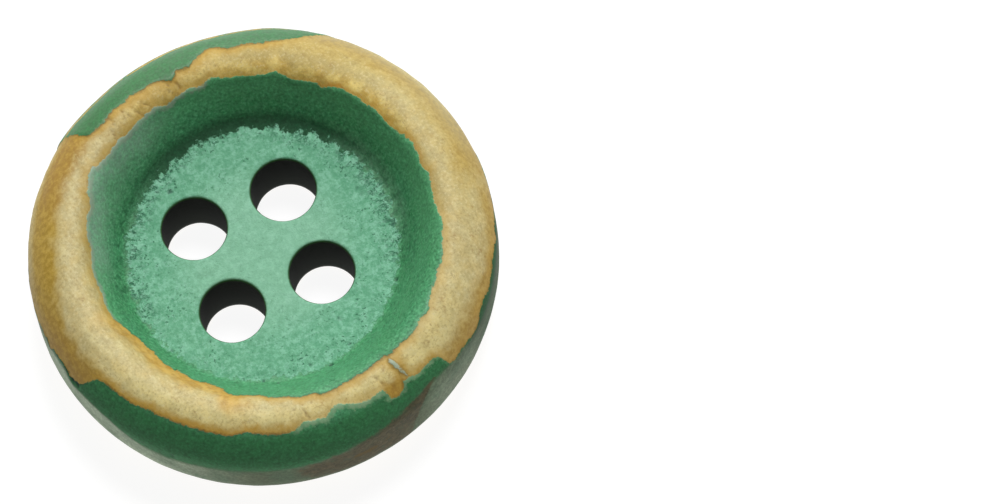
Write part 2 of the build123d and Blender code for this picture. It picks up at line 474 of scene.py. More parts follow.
b_out, b_in = curve_at(BACK_OUTER, DEG), curve_at(BACK_INNER, DEG)
bd = np.minimum(dist_to_curve(BACK_OUTER, DEG, S, np.maximum(RAD, 1)),
                dist_to_curve(BACK_INNER, DEG, S, np.maximum(RAD, 1)))
back_rim = np.where((S > b_out) & (S < b_in), bd, -bd)
pd = dist_poly(BACK_PATCH, X, Y)
patch = np.where(inside_poly(BACK_PATCH, X, Y), pd, -pd)
patch = np.where(top_side | (HOLE > 0.4), -3.0, patch)
WEAR = np.where(top_side, ring, np.maximum(np.maximum(ring, back_rim), patch))
WEAR = np.where(in_hole & (Z > FLOOR_Z / 2), -3.0, WEAR)
WEAR = np.where(HOLE > 0.6, -3.0, WEAR)
WEAR = np.clip(WEAR, -3, 3)

# zones: 1 inside, fading over the border
def arc(deg, a, b, soft):
    mid, half = (a + b) / 2, (b - a) / 2
    d = np.abs((deg - mid + 180) % 360 - 180)
    return 1 - smooth(half - soft, half + soft, d)


def blob(t, s, rt, rs, wobble=0.25, scale=3.0, seed=61):
    """A soft-edged spot at angle t and surface distance s, rt and rs in millimetres."""
    dx = ((DEG - t + 180) % 360 - 180) * math.pi / 180 * np.maximum(RAD, 0.3)
    q = np.hypot(dx / rt, (S - s) / rs) + wobble * noise(base_co, scale, seed)
    return np.where(top_side & ~in_hole, 1 - smooth(0.65, 1.25, q), 0.0)


FLOOR = np.where(top_side, 1 - smooth(5.78, 6.0, S + 0.12 * fbm(base_co, 2.9, 3, 5)), 0.0)
FLOOR = np.where(in_hole & (HOLE > 0.45), 0.0, FLOOR)
s_line = curve_at(SIDE_LINE, DEG)
SIDE = smooth(-0.12, 0.18, S - s_line + 0.10 * fbm(base_co, 1.5, 3, 9)) * \
    (1 - smooth(S_BACK_EDGE - 1.0, S_BACK_EDGE - 0.3, S))
SIDE = np.where(in_hole, 0.0, SIDE)
BACK = np.where(in_hole, 0.0, smooth(S_BACK_EDGE - 1.2, S_BACK_EDGE - 0.2, S))

# the patch low on the side that is worn to a brown mauve
wx, wy = ((DEG - 275 + 180) % 360 - 180) * math.pi / 18, S
worn_poly = [((t - 275) * math.pi / 18, s) for t, s in WORN_PATCH]
wd = dist_poly(worn_poly, wx, wy)
WORN = np.where(inside_poly(worn_poly, wx, wy), wd, -wd)
worn_soft = 0.10 + 0.30 * (1 - arc(DEG, 284, 300, 3))
WORN = np.where(in_hole, 0.0, smooth(-1, 1, (WORN + 0.10 * fbm(base_co, 2.0, 3, 57)) / worn_soft))
RUST = np.maximum(blob(272.4, 13.10, 0.55, 0.30), 0.5 * blob(278.5, 12.9, 0.3, 0.18))

# strengths along the paint's inner and outer edges
on_inner = (S - s_in) < (s_out - S)
# pale: the pale line along the paint's edge, partly the paint film's edge and partly painted sheen, strongest on the
# left of the well
pale_in = np.maximum.reduce([0.95 * arc(DEG, 84, 151, 5), 0.75 * arc(DEG, 148, 187, 6), 0.14 * arc(DEG, -14, 62, 8),
                             0.16 * arc(DEG, 300, 335, 6), 0.05 + 0 * DEG])
pale_out = np.maximum.reduce([0.30 * arc(DEG, 58, 122, 5), 0.85 * arc(DEG, 256, 284, 3), 0.55 * arc(DEG, 285, 300, 3),
                              0.04 + 0 * DEG])
PALE = np.where(top_side, np.where(on_inner, pale_in, pale_out), 0.15)
PALE = np.maximum(PALE, np.where(top_side, 1.0 * smooth(-0.16, -0.02, flake), 0.0))
gold_in = np.maximum.reduce([0.80 * arc(DEG, -6, 52, 8), 0.70 * arc(DEG, 70, 190, 8), 0.75 * arc(DEG, 232, 302, 6),
                             0.35 + 0 * DEG])
gold_out = np.maximum.reduce([1.0 * arc(DEG, 196, 258, 3), 0.8 * arc(DEG, 58, 126, 4), 0.9 * arc(DEG, 282, 301, 3),
                              0.45 + 0 * DEG])
GOLD = np.where(top_side, np.where(on_inner, gold_in, gold_out), 0.7)
burn_in = np.maximum.reduce([0.24 * arc(DEG, 0, 75, 8), 0.30 * arc(DEG, 75, 130, 6), 0.34 * arc(DEG, 190, 240, 6),
                             0.60 * arc(DEG, 236, 300, 6), 0.25 + 0 * DEG])
burn_out = np.maximum.reduce([0.85 * arc(DEG, 198, 257, 5), 0.7 * arc(DEG, 60, 126, 4), 0.5 * arc(DEG, 283, 301, 2),
                              0.55 * arc(DEG, 300, 350, 4), 0.15 + 0 * DEG])
BURN = np.where(top_side, np.where(on_inner, burn_in, burn_out), 0.6) * (1 - 0.85 * arc(DEG, 54, 128, 3) * smooth(10.6, 10.8, S))
ORANGE = np.where(top_side & on_inner, np.maximum(0.62 * arc(DEG, 36, 50, 4), 0.22 * arc(DEG, -4, 60, 8)), 0.0)
ORANGE = np.maximum(ORANGE, np.where(top_side & ~on_inner, 0.35 * arc(DEG, 222, 250, 6), 0.0))

# golden stain on the bare wood: a band along the outer shoulder at the left and lower left,
# along the inner edge at the lower left, and lighter all along both edges
outer_gap = s_out - S
inner_gap = S - s_in
wob = fbm(base_co, 0.8, 3, 21)
wob2 = fbm(base_co, 2.4, 3, 22)
stain = 0.98 * arc(DEG, 123, 200, 2.5) * smooth(9.25, 10.45, S - 0.35 * arc(DEG, 174, 204, 10) + 0.40 * wob + 0.18 * wob2) \
    * (1 - 0.55 * smooth(10.9, 11.6, S) * arc(DEG, 118, 168, 8))
stain = np.maximum(stain, 0.74 * arc(DEG, 298, 352, 8) * smooth(10.45, 11.45, S + 0.35 * wob + 0.15 * wob2))
stain = np.maximum(stain, 0.66 * arc(DEG, -10, 58, 8) * smooth(9.3, 10.9, S + 0.45 * wob + 0.2 * wob2)
                   * (1 - 0.65 * smooth(10.9, 11.7, S) * arc(DEG, 12, 60, 8)))
stain = np.maximum(stain, 0.90 * arc(DEG, 283, 289, 1.2) * smooth(9.9, 10.3, S))
stain = np.maximum(stain, 0.30 * arc(DEG, 86, 126, 5) * smooth(8.0, 9.3, S))
stain = np.maximum(stain, 0.40 * arc(DEG, 40, 90, 6) * smooth(8.6, 9.8, S + 0.3 * wob))
stain = np.where(top_side, stain, 0.38 + 0.45 * wob + 0.15 * wob2)
STAIN = np.clip(stain, 0, 1)
# the wood is paler along the near side of the rim
BLEACH = arc(DEG, 200, 312, 22) * smooth(8.9, 9.7, S) * np.where(top_side, 1.0, 0.0)
BLEACH = np.maximum(BLEACH, 0.7 * np.maximum(arc(DEG, 6, 38, 8), arc(DEG, 130, 158, 6)) * smooth(10.7, 11.2, S) * np.where(top_side, 1.0, 0.0))
BROWN = np.maximum.reduce([0.75 * arc(DEG, 120, 148, 8) * smooth(9.2, 9.9, S + 0.3 * wob) * (1 - smooth(10.8, 11.4, S)),
                           0.80 * arc(DEG, 283, 289, 1.2) * smooth(9.8, 10.3, S),
                           0.55 * arc(DEG, 178, 198, 6) * smooth(10.0, 10.9, S + 0.3 * wob),
                           0.35 * arc(DEG, 298, 325, 6) * smooth(10.4, 11.3, S + 0.3 * wob)]) * np.where(top_side, 1.0, 0.0)
BROWN = np.maximum(BROWN, np.where(top_side, 0.0, np.clip(0.25 + 1.1 * wob, 0, 0.8)))
NEARWALL = arc(DEG, 226, 330, 24) * np.where(top_side, 1.0, 0.0)
# painted sheen on the left wall below the paint's inner edge, and painted light at the foot of the wall on the right
WALL_LIGHT_PAINT = arc(DEG, 106, 167, 12) * (0.30 * smooth(6.3, 7.2, S) + 0.70 * (1 - smooth(0.30, 1.65, s_in - S + 0.35 * wob2))) \
    * np.where(top_side & on_inner, 1.0, 0.0)
WALL_LIGHT_PAINT = np.maximum(WALL_LIGHT_PAINT, 0.40 * arc(DEG, 344, 394, 12) * smooth(5.6, 5.9, S) * (1 - smooth(6.3, 7.0, S)) * np.where(top_side, 1.0, 0.0))
FARPAINT = arc(DEG, 50, 128, 5) * np.where(top_side & ~on_inner & (S > 8.6), 1.0, 0.0)
OCHRE = arc(DEG, 184, 242, 6) * (1 - smooth(0.60, 1.60, inner_gap + 0.40 * wob + 0.16 * wob2)) * np.where(top_side, 1.0, 0.0)
# painted highlights on the rim's lumps at the far side, and painted light along the inner edge at the far right, where
# it faces away from the key light
RIM_LIGHT_PAINT = np.maximum(arc(DEG, 80, 113, 7), 1.20 * arc(DEG, 12, 84, 10) * (1 - smooth(0.25, 0.95, inner_gap))) * np.where(top_side, 1.0, 0.0)
# painted shadow on the right of the shoulder and side, where the neighbouring button shades it
RIGHT_SHADOW_PAINT = arc(DEG, 306, 352, 14) * smooth(11.0, 11.8, S) * (1 - smooth(12.1, 12.9, S))
SIDE_SHADOW_PAINT = arc(DEG, 314, 350, 8) * SIDE
# painted reflection: the side is lighter at the lower left and a little at the lower right
SIDE_SHEEN_PAINT = np.maximum(arc(DEG, 168, 232, 16), 0.38 * arc(DEG, 292, 312, 6)) * SIDE
OLIVE = np.where(top_side, arc(DEG, 0, 58, 8) * smooth(10.1, 11.1, S + 0.25 * wob), 0.0)
# painted light: the wood along the inner edge at the far right is made brighter where it faces away from the key light
INNER_EDGE_LIGHT_PAINT = np.where(top_side, arc(DEG, 18, 78, 12) * (1 - smooth(0.15, 1.0, inner_gap)), 0.0)
TAN = np.where(top_side, np.maximum(0.66 * arc(DEG, -22, 84, 16), 1.40 * arc(DEG, 26, 84, 14)), 0.0)  # and yellower along the far right
# painted shade: darker paint in the shaded corner at the foot of the well's wall and on the near shoulder
FOOT_SHADE_PAINT = np.where(top_side & ~in_hole, arc(DEG, 20, 132, 26) * smooth(5.15, 5.50, S) * (1 - smooth(5.95, 6.9, S)), 0.0)
FOOT_SHADE_PAINT = np.maximum(FOOT_SHADE_PAINT, np.where(top_side & ~in_hole, 0.45 * arc(DEG, 136, 160, 14) * smooth(5.3, 5.6, S) * (1 - smooth(5.9, 6.25, S)), 0.0))
FOOT_SHADE_PAINT = np.maximum(FOOT_SHADE_PAINT, np.where(top_side & ~in_hole, 0.10 * arc(DEG, 322, 372, 14) * smooth(5.3, 5.6, S) * (1 - smooth(5.9, 6.4, S)), 0.0))
# painted shade on the near shoulder, which faces away from the key light
NEAR_SHOULDER_SHADE = np.where(top_side, arc(DEG, 186, 352, 8) * smooth(9.9, 10.6, S), 0.0)
# painted shade: a thin dark line on the paint's side of its edge, on the near side
DARKLIP = np.where(top_side & ~on_inner, np.maximum(0.9 * arc(DEG, 178, 198, 3), 0.6 * arc(DEG, 198, 256, 4)), 0.0)
DARKLIP = np.maximum(DARKLIP, np.where(top_side & on_inner, 0.4 * arc(DEG, 186, 300, 8), 0.0))

# dark pits and marks in the well, and its ragged border
SPOT = np.zeros(len(S))
for t, s, rt, rs, k in WELL_MARKS:
    SPOT = np.maximum(SPOT, k * blob(t, s, rt, rs, 0.35, 6.0))
RAGGED = np.maximum.reduce([0.95 * arc(DEG, -32, 66, 12), 1.0 * arc(DEG, 100, 190, 10), 0.45 * arc(DEG, 60, 110, 10),
                            0.22 + 0 * DEG]) * smooth(4.7, 5.7, S) * np.where(top_side & ~in_hole, 1, 0)

# checks, as a depth 0..1
CRACK = np.zeros(len(S))
for a0, sa, sb, hw, lean in CHECKS:
    t = np.clip((S - sa) / (sb - sa), 0, 1)
    line = a0 + lean * (t - 0.5) + 0.35 * noise(base_co, 3.0, 71)
    across = np.abs(((DEG - line + 180) % 360 - 180) * math.pi / 180 * RAD)
    taper = np.sin(math.pi * np.clip((S - sa) / (sb - sa), 0, 1)) ** 0.5
    CRACK = np.maximum(CRACK, (1 - smooth(hw * 0.4, hw * 2.4, across)) * taper)

# ------------------------------------------------------------------------------
# Relief in the mesh, in millimetres along the normal
# ------------------------------------------------------------------------------
GRAIN = math.radians(99)              # direction of the wood's grain across the face
gx = X * math.cos(GRAIN) + Y * math.sin(GRAIN)
gy = -X * math.sin(GRAIN) + Y * math.cos(GRAIN)
grain_co = np.c_[gx * 0.12, gy, Z * 0.6]

paint = 1 - smooth(-0.06, 0.08, WEAR)
relief = 0.034 * paint + 0.010 * np.exp(-((WEAR + 0.10) / 0.09) ** 2) * (0.6 + 0.4 * noise(base_co, 1.2, 3))
relief += 0.030 * fbm(base_co, 0.28, 2, 11)                                    # hand-finished form
relief += (1 - paint) * (0.009 * noise(grain_co, 3.4, 14) + 0.006 * noise(grain_co, 7.5, 15)
                         + 0.014 * fbm(base_co, 1.3, 2, 16))
relief += (1 - paint) * 0.045 * arc(DEG, 86, 128, 4) * noise(base_co, 1.15, 18) * np.where(top_side, 1, 0)
rough = fbm(base_co, 3.1, 3, 17, 0.6)
pits = smooth(0.36, 0.66, noise(base_co, 2.4, 23)) * smooth(0.0, 0.5, noise(base_co, 0.7, 24))
edge_rough = smooth(4.3, 5.7, S) * (1 - smooth(5.95, 6.3, S))
relief += FLOOR * (0.014 * rough - 0.030 * pits + 0.030 * edge_rough * (0.4 + RAGGED) * fbm(base_co, 3.9, 2, 29))
relief -= 0.07 * SPOT
wallz = np.where(top_side & ~in_hole, smooth(5.9, 6.2, S) * (1 - smooth(8.3, 9.0, S)), 0)
relief += wallz * paint * 0.010 * fbm(base_co, 2.2, 3, 33)
relief += (SIDE + BACK) * paint * 0.010 * fbm(base_co, 1.6, 3, 37)
relief -= 0.022 * WORN
relief -= 0.10 * arc(DEG, 70, 119, 8) * smooth(10.3, 11.2, S) * (1 - smooth(12.3, 13.4, S))   # the far shoulder is a little flatter
relief -= CRACK * (1 - paint) * 0.05
relief *= np.where(in_hole, 0.25 + 0.75 * (HOLE < 0.2), 1.0)
relief = np.where(Z < 0.35, np.minimum(relief, 0.03), relief)

mesh = bpy.data.meshes.new("button_body")
mesh.from_pydata(base_co.tolist(), [], quads + tris)
mesh.update()
nrm = np.zeros(len(V) * 3, np.float32)
mesh.vertices.foreach_get("normal", nrm)
nrm = nrm.reshape(-1, 3).astype(float)
mid_top = (FLOOR > 0.5) & ~in_hole
check_n = nrm[mid_top][:, 2].mean()
if check_n < 0:
    mesh.flip_normals()
    nrm = -nrm
co = base_co + nrm * relief[:, None]
low = co[:, 2].min()
co[:, 2] -= min(low, 0.0)             # the lowest point stays on the table
mesh.vertices.foreach_set("co", (co / 1000.0).astype(np.float32).ravel())
mesh.polygons.foreach_set("use_smooth", [True] * len(mesh.polygons))
mesh.update()


def put(name, values):
    a = mesh.attributes.new(name, "FLOAT", "POINT")
    a.data.foreach_set("value", np.asarray(values, np.float32))


put("wear", WEAR)
put("side_zone", SIDE)
put("back_zone", BACK)
put("stain", STAIN)
put("crack", CRACK)
put("bore", np.where(in_hole, HOLE, 0.0))
put("over", np.where(top_side, S, 20.0))
put("worn", WORN)
put("rust", RUST)
put("pale", PALE)
put("gold", GOLD)
put("burn", BURN)
put("orange", ORANGE)
put("bleach", BLEACH)
put("spot", SPOT)
put("ragged", RAGGED)
put("tan", TAN)
put("deep", FOOT_SHADE_PAINT)
put("near", NEAR_SHOULDER_SHADE)
put("darklip", DARKLIP)
put("nearwall", NEARWALL)
put("wall_light_paint", WALL_LIGHT_PAINT)
put("side_sheen_paint", SIDE_SHEEN_PAINT)
put("side_shadow_paint", SIDE_SHADOW_PAINT)
put("farpaint", FARPAINT)
put("rim_light_paint", RIM_LIGHT_PAINT)
put("brown", BROWN)
put("right_shadow_paint", RIGHT_SHADOW_PAINT)
put("ochre", OCHRE)
put("olive", OLIVE)
put("inner_edge_light_paint", INNER_EDGE_LIGHT_PAINT)
put("flake", np.where(top_side, smooth(-0.14, 0.02, flake), 0.0))

# a flat layout of the skin: the front as one disc, the back as another, the four bores as strips
S_CUT = float(rows[np.argmin(np.abs(rows - (S_SIDE_HIGH + 0.9)))])
R_FRONT, R_BACK = 0.325, 0.245
n_loops = len(mesh.loops)
lv = np.zeros(n_loops, np.int32)
mesh.loops.foreach_get("vertex_index", lv)
l_start = np.zeros(len(mesh.polygons), np.int32)
l_total = np.zeros(len(mesh.polygons), np.int32)
mesh.polygons.foreach_get("loop_start", l_start)
mesh.polygons.foreach_get("loop_total", l_total)
face_of = np.repeat(np.arange(len(l_start)), l_total)
s_all = V[:, 3]
face_s = np.zeros(len(l_start))
np.maximum.at(face_s, face_of, s_all[lv])
face_min = np.full(len(l_start), 99.0)
np.minimum.at(face_min, face_of, s_all[lv])
is_bore = face_s[face_of] < 0
on_front = (~is_bore) & (face_s[face_of] <= S_CUT + 1e-6)
rim_r = np.where(in_hole, RAD, S)                   # distance from the middle of each disc
u_f = 0.332 + R_FRONT * (rim_r / S_CUT) * np.cos(np.radians(DEG))
v_f = 0.332 + R_FRONT * (rim_r / S_CUT) * np.sin(np.radians(DEG))
back_s = np.where(in_hole, RAD, S_END - S) / (S_END - S_CUT)
u_b = 0.745 + R_BACK * back_s * np.cos(np.radians(DEG))
v_b = 0.745 - R_BACK * back_s * np.sin(np.radians(DEG))
uv = np.zeros((n_loops, 2))
uv[:, 0] = np.where(on_front, u_f[lv], u_b[lv])
uv[:, 1] = np.where(on_front, v_f[lv], v_b[lv])
bore_a = np.zeros(len(V))
bore_h = np.zeros(len(V), int)
per_hole = N_HOLE * len_bore
first_bore = bore_start
bi = np.arange(len(V)) - first_bore
in_b = (bi >= 0) & (bi < 4 * per_hole)
bore_h[in_b] = bi[in_b] // per_hole
bore_a[in_b] = (bi[in_b] % N_HOLE) / N_HOLE
face_amax = np.zeros(len(l_start))
np.maximum.at(face_amax, face_of, bore_a[lv])
ba = bore_a[lv]
ba = np.where((face_amax[face_of] > 0.9) & (ba < 0.1), 1.0, ba)
strip = [(0.012, 0.672), (0.012, 0.842), (0.672, 0.012), (0.842, 0.012)]
hh = bore_h[lv]
deep = np.clip(Z[lv] / FLOOR_Z, 0, 1.02)
along_u = 0.40 * ba
across_v = 0.135 * deep
sx = np.array([s_[0] for s_ in strip])[hh]
sy = np.array([s_[1] for s_ in strip])[hh]
upright = hh >= 2
uv[:, 0] = np.where(is_bore, np.where(upright, sx + across_v, sx + along_u), uv[:, 0])
uv[:, 1] = np.where(is_bore, np.where(upright, sy + along_u, sy + across_v), uv[:, 1])
layer = mesh.uv_layers.new(name="OFBake")
layer.data.foreach_set("uv", uv.astype(np.float32).ravel())

button = bpy.data.objects.new("button_body", mesh)
scene.collection.objects.link(button)
print("button mesh:", len(mesh.vertices), "points,", sum(len(p.vertices) - 2 for p in mesh.polygons), "triangles")


# ------------------------------------------------------------------------------
# Material
# ------------------------------------------------------------------------------
def lin(r, g, b):
    return tuple(((c / 255) / 12.92 if c / 255 <= 0.04045 else ((c / 255 + 0.055) / 1.055) ** 2.4) for c in (r, g, b)) + (1.0,)


class Tree:
    def __init__(self, mat):
        mat.use_nodes = True
        self.t = mat.node_tree
        self.t.nodes.clear()

    def node(self, kind, **kw):
        n = self.t.nodes.new(kind)
        for k, v in kw.items():
            setattr(n, k, v)
        return n

    def link(self, a, b):
        self.t.links.new(a, b)

    def _in(self, n, i, v):
        if v is None:
            return
        if hasattr(v, "links"):
            self.link(v, n.inputs[i])
        else:
            n.inputs[i].default_value = v

    def math(self, op, a, b=None, c=None, clamp=False):
        n = self.node("ShaderNodeMath", operation=op, use_clamp=clamp)
        self._in(n, 0, a), self._in(n, 1, b), self._in(n, 2, c)
        return n.outputs[0]

    def mul(self, *xs):
        out = xs[0]
        for x in xs[1:]:
            out = self.math("MULTIPLY", out, x)
        return out

    def step(self, x, lo, hi, out_lo=0.0, out_hi=1.0):
        n = self.node("ShaderNodeMapRange", interpolation_type="SMOOTHSTEP", clamp=True)
        self._in(n, "Value", x)
        self._in(n, "From Min", lo), self._in(n, "From Max", hi)
        self._in(n, "To Min", out_lo), self._in(n, "To Max", out_hi)
        return n.outputs[0]

    def mix(self, fac, a, b, mode="MIX"):
        n = self.node("ShaderNodeMix", data_type="RGBA", blend_type=mode)
        n.clamp_factor = True
        self._in(n, 0, fac), self._in(n, 6, a), self._in(n, 7, b)
        return n.outputs[2]

    def mixf(self, fac, a, b):
        n = self.node("ShaderNodeMix", data_type="FLOAT")
        self._in(n, 0, fac), self._in(n, 2, a), self._in(n, 3, b)
        return n.outputs[0]

    def scale(self, colour, k):
        n = self.node("ShaderNodeVectorMath", operation="SCALE")
        self._in(n, 0, colour), self._in(n, 3, k)
        return n.outputs[0]

    def attr(self, name):
        return self.node("ShaderNodeAttribute", attribute_name=name).outputs["Fac"]

    def noise(self, vec, scale, detail=2.0, rough=0.5, distort=0.0):
        n = self.node("ShaderNodeTexNoise")
        n.inputs["Scale"].default_value = scale
        n.inputs["Detail"].default_value = detail
        n.inputs["Roughness"].default_value = rough
        n.inputs["Distortion"].default_value = distort
        self.link(vec, n.inputs["Vector"])
        return n.outputs[0]

    def vec(self, op, a, b):
        n = self.node("ShaderNodeVectorMath", operation=op)
        self._in(n, 0, a), self._in(n, 1, b)
        return n.outputs[0]


def button_material():
    mat = bpy.data.materials.new("painted_wood")
    T = Tree(mat)
    tc = T.node("ShaderNodeTexCoord")
    mm = T.vec("MULTIPLY", tc.outputs["Object"], (1000, 1000, 1000))
    turn = T.node("ShaderNodeMapping", vector_type="POINT")
    turn.inputs["Rotation"].default_value = (0, 0, -GRAIN)
    T.link(mm, turn.inputs["Vector"])
    along = T.vec("MULTIPLY", turn.outputs[0], (0.16, 1.0, 0.7))     # stretched along the grain

    wear, over, side = T.attr("wear"), T.attr("over"), T.attr("side_zone")
    back, stain, crack, bore = T.attr("back_zone"), T.attr("stain"), T.attr("crack"), T.attr("bore")
    pale, gold_s, burn, orange = T.attr("pale"), T.attr("gold"), T.attr("burn"), T.attr("orange")
    worn, rust, bleach = T.attr("worn"), T.attr("rust"), T.attr("bleach")
    spot, ragged = T.attr("spot"), T.attr("ragged")
    tan, deep, near_shoulder_shade, darklip = T.attr("tan"), T.attr("deep"), T.attr("near"), T.attr("darklip")
    nearwall, wall_light_paint, side_sheen_paint = T.attr("nearwall"), T.attr("wall_light_paint"), T.attr("side_sheen_paint")
    side_shadow_paint, farpaint, rim_light_paint, ochre = T.attr("side_shadow_paint"), T.attr("farpaint"), T.attr("rim_light_paint"), T.attr("ochre")
    right_shadow_paint, brown = T.attr("right_shadow_paint"), T.attr("brown")
    grit = T.noise(mm, 8.5, 2, 0.6)
    # round the axis: fine across the radius, long along it
    unit = T.vec("NORMALIZE", T.vec("MULTIPLY", mm, (1, 1, 0)), (0, 0, 0))
    comb = T.node("ShaderNodeCombineXYZ")
    T.link(T.math("MULTIPLY", over, 0.28), comb.inputs[2])
    polar = T.vec("ADD", T.vec("MULTIPLY", unit, (5.8, 5.8, 0)), comb.outputs[0])
    fibre = T.noise(polar, 3.6, 3, 0.7)

    fine = T.noise(mm, 11.0, 3, 0.7)
    mid = T.noise(mm, 4.6, 4, 0.66)
    big = T.noise(mm, 0.9, 3, 0.55)
    soft = T.noise(mm, 0.45, 2, 0.5)

    # ragged edge of the paint
    r1 = T.math("SUBTRACT", T.noise(mm, 1.7, 3, 0.6), 0.5)
    r2 = T.math("SUBTRACT", T.noise(mm, 6.0, 3, 0.65), 0.5)
    d = T.math("MULTIPLY_ADD", r1, 0.18, wear)
    d = T.math("MULTIPLY_ADD", r2, 0.22, d)
    wood_mask = T.step(d, -0.022, 0.026)

    # ragged border of the well's floor
    f1 = T.math("SUBTRACT", T.noise(mm, 2.1, 3, 0.62), 0.5)
    f2 = T.math("SUBTRACT", T.noise(mm, 7.5, 3, 0.7), 0.5)
    reach = T.math("MULTIPLY_ADD", f1, 1.00, T.math("MULTIPLY_ADD", deep, 0.14, over))
    reach = T.math("MULTIPLY_ADD", f2, 0.55, reach)
    reach = T.math("MULTIPLY_ADD", T.math("SUBTRACT", fibre, 0.5), T.math("MULTIPLY_ADD", ragged, 0.42, 0.15), reach)
    floor = T.step(reach, 5.79, 5.95, 1.0, 0.0)

    # ---- paint
    wall_c = T.mix(T.step(mid, 0.34, 0.66), lin(56, 128, 80), lin(84, 158, 108))
    wall_c = T.mix(T.step(soft, 0.35, 0.65, 0, 0.5), wall_c, lin(72, 146, 102))
    wall_c = T.mix(T.step(grit, 0.54, 0.68, 0, 0.55), wall_c, lin(42, 108, 64))
    wall_c = T.mix(T.step(grit, 0.46, 0.34, 0, 0.45), wall_c, lin(104, 172, 128))
    wall_c = T.mix(T.mul(T.step(over, 6.9, 7.9), T.step(over, 9.4, 8.6), T.math("MULTIPLY_ADD", nearwall, -0.45, 0.45)), wall_c, lin(98, 172, 118))
    # painted sheen and light on the well's wall
    wall_c = T.mix(T.mul(wall_light_paint, T.step(mid, 0.36, 0.62, 0.55, 1.0)), wall_c, lin(136, 178, 150))
    wall_c = T.mix(T.mul(farpaint, 0.9), wall_c, T.mix(T.step(mid, 0.36, 0.64), lin(54, 110, 62), lin(70, 122, 74)))
    wall_c = T.mix(T.mul(nearwall, T.step(fibre, 0.44, 0.60), 0.30), wall_c, lin(92, 166, 116))
    # painted shade on the near shoulder
    wall_c = T.mix(T.mul(near_shoulder_shade, 0.80), wall_c, lin(38, 106, 56))
    # painted shade at the foot of the well's wall
    wall_c = T.mix(T.mul(deep, T.step(mid, 0.30, 0.70, 0.98, 0.84)), wall_c, lin(22, 60, 36))
    # painted shade: dark blotches at the foot of the wall along the ragged border
    wall_c = T.mix(T.mul(ragged, T.step(over, 6.1, 7.7, 1.0, 0.0), T.step(T.noise(mm, 3.1, 4, 0.7), 0.49, 0.60), 0.55), wall_c, lin(28, 84, 52))
    wall_c = T.scale(wall_c, T.mul(T.step(mid, 0.34, 0.66, 1.20, 0.82), T.step(grit, 0.34, 0.66, 1.13, 0.88)))
    floor_c = T.mix(T.step(mid, 0.36, 0.64), lin(100, 167, 130), lin(120, 185, 150))
    floor_c = T.mix(T.step(grit, 0.53, 0.68, 0, 0.36), floor_c, lin(146, 202, 174))
    floor_c = T.mix(T.step(grit, 0.46, 0.33, 0, 0.30), floor_c, lin(76, 144, 110))
    floor_c = T.mix(T.step(T.noise(mm, 2.3, 4, 0.7), 0.42, 0.62, 0.35, 0.0), floor_c, lin(84, 154, 118))
    patchy = T.noise(mm, 3.3, 3, 0.68)
    floor_c = T.mix(T.step(patchy, 0.50, 0.63, 0, 0.42), floor_c, lin(148, 206, 178))
    floor_c = T.mix(T.step(patchy, 0.47, 0.35, 0, 0.34), floor_c, lin(84, 150, 112))
    middle = T.step(over, 2.2, 4.7, 0.46, 0.0)
    floor_c = T.mix(middle, floor_c, lin(152, 202, 172))
    near_mark = T.step(T.noise(mm, 8.0, 2, 0.5), 0.595, 0.68)
    speck = T.mul(near_mark, T.step(T.noise(mm, 1.2, 2, 0.5), 0.44, 0.60), T.step(over, 2.6, 5.2, 0.25, 1.0))
    floor_c = T.mix(T.mul(speck, 0.75), floor_c, lin(44, 106, 76))
    # painted shadow in the gaps of the ragged border
    shaded_gap = T.mul(ragged, T.step(T.math("ADD", T.mul(T.noise(mm, 4.4, 4, 0.75), 0.6), T.mul(fibre, 0.4)), 0.50, 0.575))
    floor_c = T.mix(T.mul(shaded_gap, 0.85), floor_c, lin(40, 104, 74))
    # painted highlights on the clumps of the ragged border
    floor_c = T.mix(T.mul(ragged, T.step(fine, 0.52, 0.62), 0.65), floor_c, lin(142, 196, 170))
    # the side's grey-green: rubbed paint with a painted grazing sheen
    side_c = T.mix(T.step(mid, 0.36, 0.64), lin(68, 86, 56), lin(94, 110, 80))
    side_c = T.mix(T.step(grit, 0.54, 0.70, 0, 0.5), side_c, lin(100, 112, 86))
    side_c = T.mix(T.mul(T.step(over, 12.3, 13.2), 0.5), side_c, lin(98, 106, 82))
    # painted reflection on the side
    side_c = T.mix(T.mul(side_sheen_paint, 0.88), side_c, lin(166, 182, 156))
    # painted shadow on the right of the side
    side_c = T.mix(T.mul(side_shadow_paint, 0.30), side_c, lin(40, 62, 36))
    # the side is rubbed along its length
    rub = T.noise(T.vec("MULTIPLY", mm, (0.30, 0.30, 1.7)), 2.1, 4, 0.68)
    side_c = T.scale(side_c, T.step(rub, 0.32, 0.68, 1.08, 0.93))
    side_c = T.mix(T.step(T.noise(mm, 0.7, 4, 0.6), 0.40, 0.66, 0, 0.50), side_c, lin(78, 108, 80))
    side_c = T.scale(side_c, T.step(grit, 0.34, 0.66, 1.31, 0.90))
    paint_c = T.mix(floor, wall_c, floor_c)
    paint_c = T.mix(side, paint_c, side_c)
    worn_c = T.mix(T.step(mid, 0.36, 0.64), lin(66, 58, 34), lin(92, 80, 50))
    worn_c = T.mix(T.step(grit, 0.56, 0.70, 0, 0.5), worn_c, lin(116, 104, 76))
